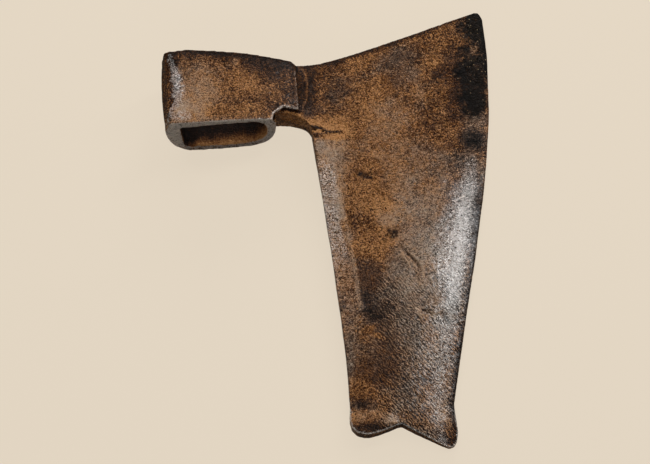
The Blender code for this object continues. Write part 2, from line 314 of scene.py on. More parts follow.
# Marks on the lapped face: the kind of mark, its line, half width and height (minus is a groove)
marks = (
    ("groove", lines["gouge"], 1, -0.95),
    ("ridge", ((113.2, -82.6), (114.8, -87.6), (117.8, -91.8), (119.5, -97.5)), 0.9, 0.85),
    ("ridge", ((120.6, -86), (124.6, -91.2), (127, -97), (127.2, -103)), 1, 0.60),
    ("groove", ((117, -90.5), (121, -95.5), (122.5, -102)), 2.2, -0.50),
    (
        "step",
        ((122.5, -122), (125, -127), (129, -125), (134, -126.5), (139, -124.5), (145, -127.5)),
        5, 0.45,
    ),
    ("ridge", ((122.8, -123.2), (124.8, -129)), 0.8, 0.80),
    ("groove", ((123.8, -123), (127.5, -124.6), (131.5, -125.4)), 1.1, -0.65),
    ("groove", ((137.5, -124), (140.5, -128), (143.4, -133)), 1.1, -0.80),
    ("groove", ((49.6, 43), (50.6, 34), (51, 22)), 1.3, -0.35),
    ("ridge", ((48.5, 45.5), (52.2, 40.5), (53.8, 33), (53.4, 22), (50.8, 13)), 1, 0.50),
    ("groove", ((111, -196), (116, -190), (122, -184), (126, -176)), 1.3, -0.22),
    ("ridge", ((102, -197), (106, -195.4), (109.5, -195.8)), 2.2, 0.55),
    ("groove", ((100, -30.5), (103.5, -33)), 1.2, -0.5),
)


def worked(spot, at):  # how far each vertex stands out of the smooth shape, in mm
    u, v, w = spot.T
    warp = np.stack([softNoise(spot, 13.0, 40 + axis) for axis in range(3)], axis=1)
    wavy = spot + 1.6 * warp
    height = np.zeros(len(spot))
    for n, (size, high) in enumerate(ironHead["hammer"]):
        height += high * softNoise(spot, size, 50 + n) * (0.75 + 0.25 * at.blade)
    # the inner bevel ends in a low ridge
    half, high = ironHead["bevelRidge"]
    height += high * at.front * bump(nearLine(spot, lines["bevelRidge"])[0], 0.0, half)
    # creases like worn leather, running down to the cutting edge, deepest in the beard's lower half
    broad, fine, high = ironHead["creases"]
    turn = math.radians(ironHead["creaseRuns"])
    runs = wavy[:, 0] * math.cos(turn) + wavy[:, 1] * math.sin(turn)
    across = wavy[:, 1] * math.cos(turn) - wavy[:, 0] * math.sin(turn)
    skin = np.stack([runs / 1.8, across, w / 1.5], axis=1)
    crease = 0.65 * (1 - 2 * np.abs(softNoise(skin, broad, 60))) + 0.35 * softNoise(skin, fine, 61)
    wild = 0.30 + 0.70 * at.front * ramp(-70.0, -112.0, v) * ramp(86.0, 102.0, u)
    height += high * crease * wild * (0.4 + 0.6 * at.blade)
    size, high = ironHead["rough"]
    height += high * roughNoise(wavy, size, 64, 2) * (0.6 + 0.6 * at.eye)
    for n, (spacing, share, deep) in enumerate(ironHead["pocks"]):
        away, chance = cellNoise(wavy, spacing, 70 + n)
        height -= deep * (chance < share) * (1 - ramp(0.10, 0.52, away))
    for kind, line, wide, high in marks:
        away, side, along = nearLine(spot + 0.5 * warp, line)
        ends = np.minimum(1.0, 4 * np.minimum(along, 1 - along) + 0.25)
        if kind == "step":
            shape = (side > 0) * (1 - ramp(0.3, 1.0, away / (3 * wide))) * ramp(0.0, 0.9, away)
        else:
            shape = bump(away, 0.0, wide)
        height += high * at.front * shape * ends
    # the heel's left lobe is upset into a roll with a valley above it
    leftLobe = at.front * (1 - ramp(100.0, 112.0, u)) * at.blade
    for middle, half, high in ironHead["heelRoll"]:
        height += leftLobe * high * bump(v, middle, half)
    # calmer in the haft's hole and on the mouth's rim
    return height * (1 - 0.45 * np.maximum(at.bore, at.mouth))


def fromEdge(u, v):  # mm in from the cutting edge
    across, along = zip(*lines["cuttingEdge"])
    return np.clip(np.interp(v, along, across) - u, 0.0, 90.0)


def reshape(at):  # bends of the whole form, too slight for the forging's own outline
    u, v, w = at.spot.T
    moved = at.spot.copy()
    # the cheek's upper rim is a little arched
    arch = at.eye * bump(u, 4.0, 24.0) * ramp(36.0, 51.0, v) * ramp(0.0, 12.0, w)
    moved[:, 1] += ironHead["cheekArch"] * arch
    # the blade is full in the middle and rolls over to the cutting edge
    belly = at.front * at.beard * bump(fromEdge(u, v), 26.0, 20.0) * ramp(-205.0, -170.0, v)
    moved[:, 2] += ironHead["bladeBelly"] * belly
    return moved


def workOver(head):
    at = regions(head)
    spot = reshape(at)
    setPlaces(head, spot @ np.array(headTurn).T * lying["unit"] + np.array(lying["place"]))
    setPlaces(head, places(head) + outward(head) * (worked(spot, at) * lying["unit"])[:, None])


workOver(head)
say("worked over")

share = ironHead["triangles"] / (2 * len(head.data.polygons))
applied(head, "DECIMATE", ratio=share, use_collapse_triangulate=True)
bpy.ops.object.shade_smooth()
say(f"thinned to {len(head.data.polygons)} triangles")


# Paint: how much of each rust, scale and rubbed metal there is on each vertex, and the light and shade
# painted on it


def hollowness(thing):  # above 0 in hollows and below 0 on ridges, in mm
    count = len(thing.data.vertices)
    ends = np.empty(len(thing.data.edges) * 2, np.int32)
    thing.data.edges.foreach_get("vertices", ends)
    starts, stops = ends.reshape(-1, 2).T
    near = np.bincount(ends, minlength=count)

    def averaged(values):  # over each vertex's neighbours
        total = np.bincount(starts, values[stops], count) + np.bincount(stops, values[starts], count)
        return total / near

    points = places(thing) / lying["unit"]
    middle = np.stack([averaged(points[:, axis]) for axis in range(3)], axis=1)
    rise = ((middle - points) * outward(thing)).sum(axis=1)
    return 0.5 * rise + 0.5 * averaged(rise)


# How the skin starts out: middle, swing, size of a cloud in mm, and the noise's seed
ground = {
    "tone": (0.48, 0.10, 34.0, 90),
    "rust": (0.80, 0.40, 28.0, 94),
    "speck": (0.92, 0.30, 22.0, 96),
}
# The skin's paints: how pale (0 is black), how rusty (0 is gray iron) and how specked (0 is smooth)
paints = {
    "honey": (0.82, 1.50, 0.8),
    "gold": (0.71, 1.55, 1.0),
    "rust": (0.66, 1.45, 1.0),
    "sienna": (0.50, 1.20, 0.9),
    "umber": (0.43, 1.00, 0.8),
    "bistre": (0.28, 1.10, 1.0),
    "night": (0.10, 0.85, 0.5),
    "cocoa": (0.36, 0.75, 0.4),
    "soot": (0.17, 0.25, 0.5),
    "slate": (0.42, 0.35, 0.65),
    "gray": (0.60, 0.20, 0.55),
    "ash": (0.80, 0.30, 0.8),
    "stone": (0.88, 0.20, 0.9),
    "clay": (0.71, 0.75, 0.68),
    "tan": (0.85, 0.62, 0.8),
    "sand": (0.95, 0.60, 0.8),
    "crust": (0.97, 1.15, 2.0),
    "pale": (0.97, 0.25, 0.5),
}
# Some dabs are painted highlights and painted shade, each marked where it stands
# Dabs on the lapped face in the order they are laid:
# paint, middle (u, v), reach across and along, strength, and degrees where the dab is turned
dabs = (
    # the neck and the blade's top
    ("bistre", (62, 36), (15, 20), 0.9),
    ("slate", (73, 27), (9, 12), 0.6, 15),
    # painted shade along the blade's top rim, these two dabs
    ("night", (77, 49), (11, 5), 0.7, 18),
    ("night", (81, 53), (15, 5.5), 0.95, 18),
    ("night", (54, 13), (7, 9), 0.9),
    ("soot", (80, 27), (7, 6), 0.5),
    ("cocoa", (105, 37), (7, 6), 0.8),
    ("cocoa", (127, 54), (7, 5), 0.5),
    ("cocoa", (142, 45), (6, 5), 0.5),
    ("night", (53, 31), (7, 26), 0.9),
    ("umber", (62, 12), (9, 5), 0.6),
    ("rust", (88, 52), (16, 8), 0.8, 18),
    ("gold", (91, 54), (7, 4), 0.4, 20),
    ("gold", (99, 33), (10, 11), 0.7, -20),
    ("rust", (88, 20), (13, 10), 0.5, -30),
    ("slate", (113, 54), (15, 9), 0.9, 12),
    ("slate", (120, 42), (10, 7), 0.8),
    ("umber", (122, 32), (12, 10), 0.3),
    ("gold", (97, 28), (7, 7), 0.5),
    ("clay", (113, 14), (14, 12), 0.8),
    ("clay", (118, 9), (8, 6), 0.6),
    ("tan", (104, 16), (14, 8), 0.5),
    ("sienna", (136, 76), (16, 8), 0.8, 22),
    ("rust", (142, 66), (12, 7), 0.7, 10),
    ("rust", (135, 52), (10, 7), 0.6, 10),
    ("tan", (128, 45), (6, 6), 0.5),
    ("night", (150, 53), (9, 11), 0.8),
    ("bistre", (145, 30), (13, 20), 0.9, -8),
    ("night", (153, 28), (8, 18), 0.8, -6),
    ("bistre", (133, 42), (7, 5), 0.6),
    ("rust", (141, 26), (6, 6), 0.4),
    ("umber", (138, 2), (14, 14), 0.7, -15),
    ("pale", (113, -84), (9, 10), 0.5),
    ("bistre", (143, -8), (14, 12), 0.4),
    ("rust", (146, 3), (8, 6), 0.5, 30),
    ("rust", (136, -12), (9, 6), 0.5, 10),
    ("slate", (156, -18), (11, 10), 0.8),
    ("soot", (160, -3), (7, 8), 0.8),
    ("gray", (165, 10), (6, 5), 0.8),
    ("slate", (165, 22), (4, 8), 0.5),
    ("slate", (164, -8), (9, 15), 0.5),
    ("soot", (162, -4), (8, 8), 0.7),
    ("stone", (168, -28), (4, 9), 0.8),
    ("bistre", (142, 70), (8, 6), 0.6),
    ("slate", (127, 62), (8, 6), 0.7),
    ("bistre", (104, 62), (7, 5), 0.5, 18),
    ("bistre", (151, 69), (14, 8), 0.5, 28),
    ("umber", (132, 67), (9, 7), 0.5),
    ("umber", (143, 72), (8, 6), 0.5, 25),
    ("bistre", (128, 63), (7, 5), 0.4),
    ("gold", (156, 65), (5, 2), 0.3, 30),
    ("night", (134, 13), (7, 9), 0.5),
    ("night", (142, 45), (6, 6), 0.5),
    # under the crack
    ("honey", (71, 4), (18, 6.5), 1.0, -4),
    ("gold", (74, -3), (10, 4), 0.9),
    ("gold", (71, 3), (8, 4), 0.6),
    ("honey", (82, 8), (9, 6), 0.6),
    ("clay", (106, -8), (22, 22), 0.8),
    ("tan", (106, 3), (10, 8), 0.5),
    ("umber", (120, 0), (7, 5), 0.5),
    ("clay", (118, -20), (20, 12), 0.6),
    ("gray", (134, -16), (16, 9), 0.6),
    ("bistre", (134, 14), (7, 8), 0.5),
    ("tan", (119, 9), (6, 6), 0.4),
    ("gray", (135, -33), (8, 7), 0.6),
    ("slate", (146, -24), (12, 6), 0.5),
    ("rust", (83, 0), (7, 9), 0.6),
    ("pale", (67, -13), (10, 9), 1.0),
    ("tan", (74, -8), (8, 5), 0.9),
    ("slate", (79, -17), (6, 5), 0.4),
    # painted highlight of the left lamp on the inner bevel, these three dabs
    ("sand", (67, -32), (9, 15), 0.9, 6),
    ("sand", (76, -36), (7, 10), 0.9),
    ("pale", (73, -53), (6, 12), 0.9, 4),
    ("clay", (81, -25), (6, 6), 0.7),
    ("rust", (82, -54), (5, 10), 0.6),
    ("gray", (82, -76), (6, 7), 0.8),
    ("sand", (76, -80), (6, 18), 0.6, 8),
    # the beard's upper half
    ("sienna", (88, -29), (13, 10), 0.8),
    ("gold", (94, -42), (14, 11), 1.0, -10),
    ("rust", (89, -25), (6, 6), 0.4),
    ("pale", (75, -25), (7, 8), 0.5),
    ("clay", (120, -33), (20, 14), 0.7),
    ("tan", (116, -38), (16, 9), 0.6),
    ("ash", (126, -39), (14, 13), 0.7),
    ("slate", (135, -33), (6, 5), 0.5),
    ("tan", (121, -45), (10, 8), 0.7),
    ("ash", (128, -46), (10, 15), 0.6),
    ("rust", (131, -40), (8, 8), 0.4),
    ("gold", (127, -42), (6, 6), 0.6),
    ("gold", (100, -54), (12, 7), 0.8, -8),
    ("sand", (105, -58), (10, 7), 1.0, -8),
    ("bistre", (88, -64), (9, 6), 0.8),
    ("clay", (103, -68), (7, 5), 0.4),
    ("gold", (97, -76), (14, 10), 0.8),
    ("sand", (107, -59), (9, 6), 0.8, -8),
    ("honey", (104, -60), (9, 5), 0.3, -8),
    ("pale", (106, -59), (8, 6), 0.5, -8),
    ("crust", (102, -53), (7, 6), 0.7),
    ("crust", (115, -56), (5, 8), 0.9),
    ("sand", (107, -61), (8, 6), 0.6),
    ("ash", (115, -96), (11, 16), 0.7),
    ("rust", (88, -82), (9, 6), 0.8),
    ("ash", (125, -52), (16, 12), 0.9),
    ("ash", (130, -72), (19, 20), 0.9, -5),
    ("tan", (119.5, -92), (4, 10), 0.7, 30),
    ("stone", (136, -88), (15, 18), 0.8, -5),
    ("rust", (101, -86), (9, 5), 0.6),
    ("clay", (106, -92), (8, 7), 0.6),
    ("cocoa", (93, -101), (10, 14), 0.9),
    ("gray", (113, -96), (10, 12), 0.7),
    ("slate", (107, -116), (11, 8), 0.6),
    ("ash", (126, -108), (12, 14), 0.8),
    # its lower half
    ("soot", (96, -116), (9, 6), 0.4),
    ("soot", (97, -123), (12, 6), 0.8),
    ("cocoa", (104, -152), (12, 26), 0.9),
    ("rust", (88, -175), (7, 10), 0.5),
    ("slate", (81, -124), (5, 9), 0.9),
    ("soot", (96, -133), (9, 7), 0.5),
    ("rust", (92, -135), (6, 2), 0.8, 20),
    ("rust", (98, -140), (5, 1.8), 0.8, -20),
    ("slate", (104, -108), (6, 6), 0.5),
    ("ash", (123, -113), (11, 22), 0.9),
    ("pale", (123, -107), (12, 8), 0.7),
    ("pale", (119, -140), (7, 8), 0.4),
    ("pale", (131, -117), (10, 5), 0.8),
    ("honey", (127, -128), (2.5, 2), 0.8),
    ("slate", (143, -168), (4, 9), 0.8),
    ("slate", (127, -163), (8, 8), 0.5),
    ("soot", (90, -116), (5, 6), 0.6),
    ("gray", (122, -136), (17, 22), 0.7),
    ("sand", (134, -150), (9, 28), 0.4, -4),
    ("slate", (146, -158), (6, 34), 0.6, -3),
    ("gray", (124, -117), (10, 9), 0.6),
    ("gray", (81, -145), (5, 20), 0.7),
    ("tan", (140, -168), (5, 10), 0.6),
    ("sienna", (145, -140), (5, 10), 0.5),
    ("cocoa", (89, -163), (6, 10), 0.8),
    ("gray", (80, -163), (3, 10), 0.8),
    ("slate", (120, -176), (14, 14), 0.7),
    ("sienna", (90, -172), (12, 8), 0.5),
    ("cocoa", (99, -165), (12, 9), 0.6),
    ("night", (98, -166), (9, 7), 0.3),
    ("soot", (88, -184), (11, 4.5), 0.7),
    ("sienna", (88, -178), (5, 4), 0.5),
    ("sienna", (101, -184), (7, 7), 0.7),
    # painted light on the heel roll's crest and painted shade below it, these three dabs
    ("clay", (96, -193), (17, 5), 0.9),
    ("pale", (107, -193), (4, 3), 0.9),
    ("soot", (97, -201), (18, 3.5), 0.9, 6),
    ("tan", (132, -180), (6, 8), 0.6),
    # painted sheen on the heel's right lobe
    ("sand", (134, -191), (8, 8), 0.8),
    ("clay", (128, -178), (9, 12), 0.5),
    # painted shade below the heel roll
    ("night", (94, -202), (16, 6), 1.0, 6),
    # painted sheen on the heel's right lobe
    ("sand", (135, -194), (8, 8), 1.0),
    ("umber", (142, -203), (11, 8), 0.7),
    ("night", (143, -208), (12, 4), 0.9),
    ("bistre", (122, -193), (12, 7), 0.5),
    # the eye's cheek
    ("tan", (-14, 18), (13, 20), 0.9),
    ("bistre", (34, 32), (17, 20), 0.9),
    ("tan", (-15, 30), (10, 11), 0.6),
    ("bistre", (10, 48), (34, 6), 0.8),
    ("honey", (14, 28), (11, 6), 0.9, -35),
    ("gold", (13, 27), (15, 9), 0.6, -35),
    ("sand", (7, 47), (2.5, 8), 0.7, 15),
    ("bistre", (20, 14), (14, 4), 0.5, -8),
    ("rust", (0, 7), (26, 4), 0.7),
    # painted highlight in the cheek's lower corner by the poll, these three dabs
    ("sand", (-19, 9), (10, 10), 1.0),
    ("pale", (-27, 8), (5, 9), 0.9),
    ("sand", (-25, 4), (9, 5), 1.0),
    ("rust", (33, 22), (7, 6), 0.7),
    ("rust", (20, 11), (10, 5), 0.7),
    ("rust", (7, 22), (8, 6), 0.5),
    ("bistre", (43, 30), (4, 14), 0.6),
    ("rust", (27, 9), (6, 5), 0.7),
    # painted shade along the cheek's upper rim, these two dabs
    ("night", (32, 45), (12, 6), 0.9, -12),
    ("night", (20, 49), (24, 8), 1.0, -6),
    ("bistre", (36, 9), (7, 6), 0.8),
    ("bistre", (42, 24), (6, 10), 0.6),
    # painted shade on the cheek's upper right
    ("night", (32, 38), (16, 7), 0.6, -8),
    ("night", (45, 23), (5, 12), 0.5),
    ("night", (36, 10), (6, 5), 0.5),
    ("bistre", (13, 17), (8, 5), 0.4),
    # painted shade along the cheek's upper rim
    ("night", (-20, 52), (20, 5), 0.8),
)
# painted highlight on ridges and steps and painted shade in grooves
markShading = {"ridge": 0.6, "groove": 0.2, "step": 0.8}  # added tone: for each mm of height, or for the step
# Black scale on the lapped face, written as the dabs are
blackScale = (
    ((166, 80), (11, 13), 1.4, -4),
    ((169, 66), (5, 9), 0.9),
    ((158, 61), (6, 6), 0.7),
    ((165, 45), (13, 15), 1.6),
    ((163, 25), (11, 12), 1.1),
    ((160, 16), (7, 8), 0.7),
    ((162, -5), (9, 9), 0.5),
    ((92, -31), (4, 3), 0.7),
    ((88, -29), (2, 3), 0.7),
    ((107, -71), (4, 4), 0.65),
    ((103, -75), (2, 2), 0.6),
    ((96, -125), (10, 5), 0.4),
    ((86, -183), (8, 4), 0.3),
)


def dabbed(spot, ragged, middle, reach, turn=0):
    turn = math.radians(turn)
    du, dv = spot[:, 0] - middle[0], spot[:, 1] - middle[1]
    across = (du * math.cos(turn) + dv * math.sin(turn)) / reach[0]
    along = (dv * math.cos(turn) - du * math.sin(turn)) / reach[1]
    return 1 - ramp(0.25, 1.5, np.hypot(across, along) + 0.6 * ragged)


def onLine(spot, name, inner, outer):  # 1 within the inner distance of a drawn line, 0 past the outer one
    return 1 - ramp(inner, outer, nearLine(spot, lines[name])[0])


def laid(skin, share, **values):  # pulls the skin towards these values
    for name, value in values.items():
        skin[name] += share * (value - skin[name])


def layGround(at, skin):  # clouds of patina, paler and grayer over the wrinkles
    u, v = at.spot.T[:2]
    for name, (middle, swing, size, seed) in ground.items():
        skin[name] = middle + swing * roughNoise(at.spot, size, seed, 3)
    skin["speck"] += 0.4 * at.front * ramp(112.0, 138.0, u) * ramp(-34.0, -18.0, v)
    at.wrinkled = at.front * ramp(-80.0, -112.0, v) * ramp(88.0, 104.0, u)
    laid(skin, 0.8 * at.wrinkled, tone=0.69, rust=0.18)
    laid(skin, 0.7 * at.wrinkled, speck=1.0)


def layDabs(at, skin):
    for n, (name, middle, reach, strength, *turn) in enumerate(dabs):
        mask = strength * at.front * dabbed(at.spot, at.ragged[n % len(at.ragged)], middle, reach, *turn)
        laid(skin, mask, **dict(zip(ground, paints[name])))


def layStripAndHighlight(at, skin):  # the bevel down the beard's inner side is paled by a painted highlight of the left lamp, and browner low down
    u, v = at.spot.T[:2]
    innerEdge = 60.0 + 0.00058 * (v + 8) ** 2 - 0.013 * (v + 8)
    width = 12.0 + 6.0 * ramp(-60.0, -100.0, v)
    strip = at.front * at.beard * (1 - ramp(-2.5, 2.5, u - innerEdge - width))
    strip *= ramp(-14.0, -30.0, v) * ramp(-150.0, -112.0, v)
    low = ramp(-76.0, -100.0, v)
    tone = 0.88 + 0.1 * at.ragged[4] + 0.16 * bump(v, -14.0, 14.0) + 0.18 * bump(v, -50.0, 14.0)
    tone -= 0.10 * low + 0.22 * bump(v, -122.0, 14.0)
    rust = 0.60 + 0.6 * at.ragged[2] + 0.3 * bump(v, -88.0, 9.0) + 0.22 * low
    laid(skin, 0.75 * strip, tone=tone, rust=rust)
    laid(skin, 0.6 * strip, speck=1.9 - 0.8 * low)
    # painted highlight along the bevel's ridge
    ridgeAway = nearLine(at.spot, lines["bevelRidge"])[0]
    laid(skin, 0.5 * at.front * (1 - ramp(0.3, 2.4, ridgeAway + 0.8 * at.ragged[3])), tone=0.98, rust=0.3)
    at.strip, at.lowStrip = strip, low


def layScale(at, skin):
    char = 0.8 * at.back * ramp(0.15, 0.5, roughNoise(at.spot, 40.0, 92))
    for n, (middle, reach, strength, *turn) in enumerate(blackScale):
        patch = strength * at.front * dabbed(at.spot, at.ragged[n % len(at.ragged)], middle, reach, *turn)
        char = np.maximum(char, patch)
    skin["char"] = np.minimum(char, 1.0)


def paintMarkShading(at, skin):  # painted highlight where a ridge or a step catches the light, painted shade in a groove
    for kind, line, wide, high in marks:
        away = nearLine(at.spot, line)[0] + 0.3 * at.ragged[0]
        if kind == "step":
            skin["tone"] += markShading[kind] * at.front * bump(away, 0.6, 0.9)
        else:
            skin["tone"] += markShading[kind] * high * at.front * bump(away, 0.0, 0.8 * wide)


def paintRimShade(at, skin):  # painted shade: the outline darkens where the face rolls over away from the lamps, most along the top
    u, v, w = at.spot.T
    atTop = ramp(34.0, 42.0, v)
    rim = at.front * (1 - ramp(0.3, 1.4 + 2.4 * atTop, at.crispAway)) * np.maximum(at.blade, atTop)
    upper = ramp(0.12, 0.45, at.facing[:, 1]) * ramp(30.0, 40.0, v) * (w > -6.0) * ramp(104.0, 84.0, u)
    upper = np.maximum(upper, rim * atTop)
    laid(skin, 0.6 * rim, tone=0.0)
    laid(skin, 0.9 * upper, tone=0.03)
    laid(skin, 0.8 * upper, speck=0.3)
    skin["char"] *= 1 - 0.5 * at.front * (1 - ramp(1.0, 4.0, fromEdge(u, v))) * ramp(48.0, 36.0, v)
    at.upper = upper


def layHoleAndPoll(at, skin):  # bright rust by the mouth of the haft's hole, painted shade deep in it
    u, v, w = at.spot.T
    lean = leaning(u, v)
    # painted shade, darker further into the hole and towards its poll end
    deepIn = ramp(-3.0, 12.0, v + 3.0 * at.ragged[4]) + 0.7 * ramp(-12.0, -24.0, lean + 5.0 * at.ragged[0])
    tone = 1.15 + 0.2 * at.ragged[0] - 1.15 * np.minimum(deepIn, 1.0) + 0.25 * ramp(18.0, 27.0, lean)
    laid(skin, at.bore, tone=tone, rust=1.9, speck=0.4)
    at.pollSide = ramp(0.25, 0.45, -at.facing[:, 0]) * (lean < -25)
    laid(skin, 0.9 * at.pollSide, tone=0.26 + 0.15 * at.ragged[0], rust=1.7)
    # past the poll's ridge, bare metal paled as a painted highlight, the cheek is as dark as the poll
    away, side, along = nearLine(at.spot, lines["pollRidge"])
    half = 1.0 + 2.8 * np.sin(math.pi * along) ** 2
    band = (1 - ramp(0.2, 1.5, (away + 1.2 * at.ragged[1] + 3.4 * at.flaky) / half)) * (w > 4.0) * at.eye
    beyond = at.eye * (w > 0.0) * ((side > 0) | (away < 0.5)) * (1 - band) * ramp(-24.0, -30.0, u)
    laid(skin, 0.9 * beyond, tone=0.20 + 0.25 * at.ragged[2], rust=1.6)
    at.pollBand, at.beyond = band, beyond


def rubMetal(at, skin):  # bare metal, and how far a waxed sheen lies over the rest
    u, v, w = at.spot.T
    edgeIn = fromEdge(u, v)
    # the cutting bevel's bare metal lies where the right lamp's highlight falls, and its core is a painted
    # highlight
    wide = 20.0 + 13.0 * ramp(-30.0, -70.0, v) - 8.0 * ramp(-80.0, -105.0, v)
    polishAndHighlight = at.front * ramp(1.0, 0.35, (edgeIn + 2.5 * at.ragged[2]) / wide) * ramp(2.0, 10.0, edgeIn)
    polishAndHighlight *= ramp(-4.0, -46.0, v) * (1 - 0.85 * ramp(-112.0, -148.0, v))
    highlightCore = polishAndHighlight * bump(edgeIn, 10.5, 4.0) * ramp(-22.0, -52.0, v)
    # the cheek's lower corner by the poll: bare metal with a sheen, paler as a painted highlight
    corner = at.front * (1 - at.bore) * (w > 10.0) * dabbed(at.spot, at.ragged[1], (-27, 4), (7, 4))
    # thin bright lines where the edges of the cheek, the chip, the lap and the heel are rubbed
    lapTop = w > 19.4 - 0.004 * np.clip(u - 12.0, 0.0, 90.0) ** 2
    arris = np.maximum.reduce([
        onLine(at.spot, "cheekEdge", 0.2, 0.9),
        onLine(at.spot, "chipEdge", 0.4, 1.3),
        onLine(at.spot, "lapEnd", 0.3, 1.2) * (0.25 + 0.5 * at.ragged[3]),
    ])
    heelLine = (1 - ramp(0.3, 1.0, at.crispAway)) * (v < -188.0)
    heelLine *= ramp(-0.95, -0.75, at.facing[:, 1]) * ramp(0.05, 0.3, at.facing[:, 2])
    arris = np.maximum(lapTop * arris, heelLine)
    skin["bare"] = np.maximum.reduce([
        0.95 * at.mouth,
        # the poll's ridge: bare metal, paler as a painted highlight of the left lamp
        0.32 * at.pollBand,
        0.32 * corner,
        polishAndHighlight * (0.60 + 0.2 * at.ragged[1]) + 0.9 * highlightCore,
        0.25 * at.strip * (1 - 0.7 * at.lowStrip),
        0.6 * arris,
        1.3 * heelLine,
    ])
    laid(skin, 0.8 * arris, tone=1.1, rust=0.0)
    laid(skin, 0.6 * highlightCore, speck=0.0)
    satin = np.maximum.reduce([
        0.05 + 0.25 * at.eye,
        0.9 * at.pollBand,
        0.55 * at.strip * (1 - 0.3 * at.lowStrip),
        0.5 * at.wrinkled * ramp(98.0, 114.0, u) * ramp(-200.0, -182.0, v),
        0.9 * at.front * dabbed(at.spot, at.ragged[3], (134, -78), (30, 52), -5),
        0.9 * (1 - ramp(1.5, 5.0, np.hypot(u - 107.0, v + 193.5))),
        0.6 * (1 - ramp(3.0, 9.0, np.hypot(u - 134.0, v + 192.0))),
        0.9 * corner,
        0.7 * arris,
    ])
    satin *= 1 - np.maximum.reduce([at.upper, at.beyond, at.bore])
    skin["satin"] = satin * (1 - 0.8 * onLine(at.spot, "gouge", 3.0, 9.0))
    at.lapTop = lapTop


def layMouthAndThroat(at, skin):
    u, v, w = at.spot.T
    lip = at.mouth * ramp(-8.0, -14.0, w)
    skin["bare"] *= 1 - 0.9 * lip * ramp(-0.3, 0.4, at.flaky)
    laid(skin, 0.6 * lip, tone=0.5, rust=1.3)
    # painted shade on the heel's downward end below its bright edge, and the throat's rim is a little paler
    heelEndShade = (v < -188.0) * ramp(-0.5, -0.85, at.facing[:, 1])
    laid(skin, 0.9 * heelEndShade, tone=0.20 + 0.35 * np.clip(at.ragged[2], 0, 1))
    laid(skin, 0.6 * onLine(at.spot, "throatRim", 0.5, 2.2) * (w > 0), tone=0.80)
    skin["dull"] = np.maximum.reduce([
        0.8 * at.upper,
        at.beyond,
        at.pollSide,
        0.8 * at.bore,
        0.6 * heelEndShade,
        0.7 * at.mouth * ramp(14.0, 26.0, leaning(u, v)),
    ])
    # the layer laid bare below the chip is a brighter rust, lightened further as painted light against the
    # chip's shadow, with a painted shadow along the chip
    under = onLine(at.spot, "underChip", 3.0, 9.0) * (w > 2.0) * (1 - at.lapTop) * (u < 52.0) * (v < 12.0)
    skin["satin"] *= 1 - under
    laid(skin, 0.85 * under, tone=0.75 + 0.25 * at.ragged[1], rust=1.5)
    chipShadow = onLine(at.spot, "chipEdge", 1.0, 2.2) * (w > 4.0) * (1 - at.lapTop) * at.front
    laid(skin, 0.95 * chipShadow, tone=0.0)


def layCracks(at, skin):  # two thin cracks run in from the throat, with rust between them
    upperAway, _, upperAlong = nearLine(at.spot, lines["upperCrack"])
    lowerAway, _, lowerAlong = nearLine(at.spot, lines["lowerCrack"])
    laid(skin, 0.8 * onLine(at.spot, "betweenCracks", 1.0, 3.0) * at.front, tone=0.72, rust=1.5)
    cracks = np.maximum(
        1 - ramp(0.5, 1.3 - 0.5 * upperAlong, upperAway),
        0.8 * (1 - ramp(0.4, 1.1 - 0.4 * lowerAlong, lowerAway)),
    )
    # beside the upper crack: rust, and painted light that lifts the shade of the forging's groove
    rustAndLightBesideCrack = at.front * (1 - ramp(3.0, 7.0, upperAway))
    skin["tone"] += 0.36 * rustAndLightBesideCrack
    skin["rust"] += 0.5 * rustAndLightBesideCrack
    laid(skin, 0.92 * cracks * at.front, tone=0.0)
    return at.front * (1 - ramp(4.0, 7.0, upperAway))


def paintEdgeShade(at, skin):  # painted shade along the blunt cutting edge, where its bevel turns away from the lamps; gray iron higher up and some black scale low down
    u, v = at.spot.T[:2]
    margin = 10.5 - 6.0 * ramp(-50.0, -105.0, v)
    blunt = at.front * at.blade * (1 - ramp(0.1, 1.0, fromEdge(u, v) / margin)) * ramp(-12.0, -50.0, v)
    laid(skin, 0.6 * blunt, tone=0.0)
    laid(skin, 0.8 * blunt * ramp(-140.0, -110.0, v), rust=0.0)
    laid(skin, 0.5 * blunt, speck=0.0)
    skin["char"] = np.maximum(skin["char"], 0.4 * blunt * ramp(-90.0, -120.0, v))


def paintAll(head):
    at = regions(head)
    at.crispAway = toCrisp(crisp, places(head))
    at.flaky = roughNoise(at.spot, 2.0, 170, 2)
    at.ragged = [roughNoise(at.spot, 13.0, 100 + 7 * n, 5, 0.66) for n in range(5)]
    skin = {}
    layGround(at, skin)
    layDabs(at, skin)
    layStripAndHighlight(at, skin)
    layScale(at, skin)
    paintMarkShading(at, skin)
    paintRimShade(at, skin)
    layHoleAndPoll(at, skin)
    rubMetal(at, skin)
    layMouthAndThroat(at, skin)
    nearCracks = layCracks(at, skin)
    paintEdgeShade(at, skin)
    # painted shade in the hollows and painted highlight on the ridges, weaker beside the cracks
    skin["hollowShadeAndRidgeLight"] = 0.5 + 3.5 * hollowness(head) * (1 - nearCracks)
    skin["wrinkle"] = at.wrinkled
    skin["rust"] /= 2  # rust and speck run up to 2, and an attribute to 1
    skin["speck"] /= 2
    skin["satin"] *= 1 - skin["char"]
    for name, values in skin.items():
        paint(head, name, values)


paintAll(head)
say("painted")


# Material


def freshMaterial(name):
    material = bpy.data.materials.new(name)
    material.use_nodes = True
    return material, material.node_tree, material.node_tree.nodes["Principled BSDF"]


def addNode(tree, kind, **settings):  # nodes stand in columns of eight, in the order they are made
    column, row = divmod(len(tree.nodes), 8)
    node = tree.nodes.new(kind)
    node.location = (240 * column, -300 * row)
    for name, value in settings.items():
        setattr(node, name, value)
    return node


